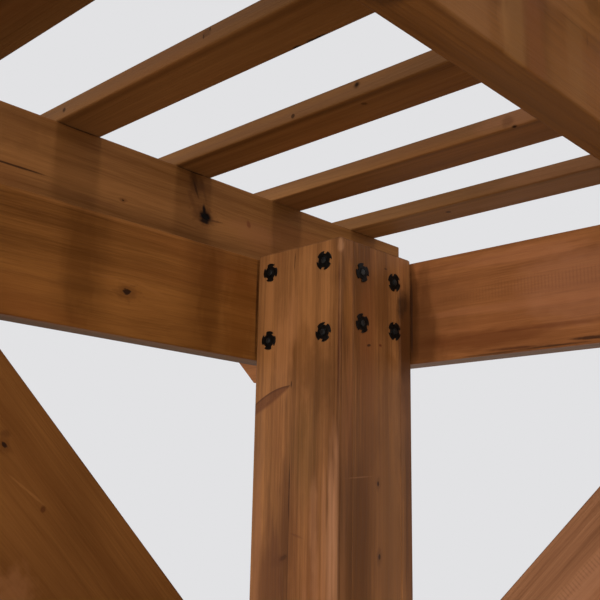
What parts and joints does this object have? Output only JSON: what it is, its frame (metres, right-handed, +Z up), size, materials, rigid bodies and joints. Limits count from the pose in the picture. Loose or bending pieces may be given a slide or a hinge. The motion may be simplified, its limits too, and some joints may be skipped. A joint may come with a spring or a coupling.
{
  "type": "wooden pergola",
  "caption": "Free-standing wooden pergola: posts with bolted headers and tie beams, seated rafters with clipped tails, flat shade slats and wide knee braces.",
  "frame": {"origin": "on the ground at the middle of the plan", "axes": "+X along the rafters, +Y along the headers, +Z up"},
  "size_m": [3.098, 3.692, 2.303],
  "materials": {
    "post_wood": "stained cedar, satin",
    "beam_wood": "stained cedar, satin",
    "rafter_wood": "stained cedar, satin",
    "slat_wood": "stained cedar, satin",
    "brace_wood": "stained cedar, satin",
    "black_hardware": "black coated steel, satin"
  },
  "bodies": {
    "root": {"post_front_left": "post_wood", "post_front_right": "post_wood", "post_back_left": "post_wood", "post_back_right": "post_wood", "header_left": "beam_wood", "header_right": "beam_wood", "tie_beam_front": "beam_wood", "tie_beam_back": "beam_wood", "rafter_01": "rafter_wood", "rafter_02": "rafter_wood", "rafter_03": "rafter_wood", "rafter_04": "rafter_wood", "rafter_05": "rafter_wood", "rafter_06": "rafter_wood", "rafter_07": "rafter_wood", "slat_01": "slat_wood", "slat_02": "slat_wood", "slat_03": "slat_wood", "slat_04": "slat_wood", "slat_05": "slat_wood", "slat_06": "slat_wood", "slat_07": "slat_wood", "slat_08": "slat_wood", "slat_09": "slat_wood", "slat_10": "slat_wood", "slat_11": "slat_wood", "slat_12": "slat_wood", "slat_13": "slat_wood", "slat_14": "slat_wood", "slat_15": "slat_wood", "slat_16": "slat_wood", "slat_17": "slat_wood", "slat_18": "slat_wood", "tie_brace_front_left": "brace_wood", "header_brace_front_left": "brace_wood", "tie_brace_front_right": "brace_wood", "header_brace_front_right": "brace_wood", "tie_brace_back_left": "brace_wood", "header_brace_back_left": "brace_wood", "tie_brace_back_right": "brace_wood", "header_brace_back_right": "brace_wood"}
  },
  "joints": []
}
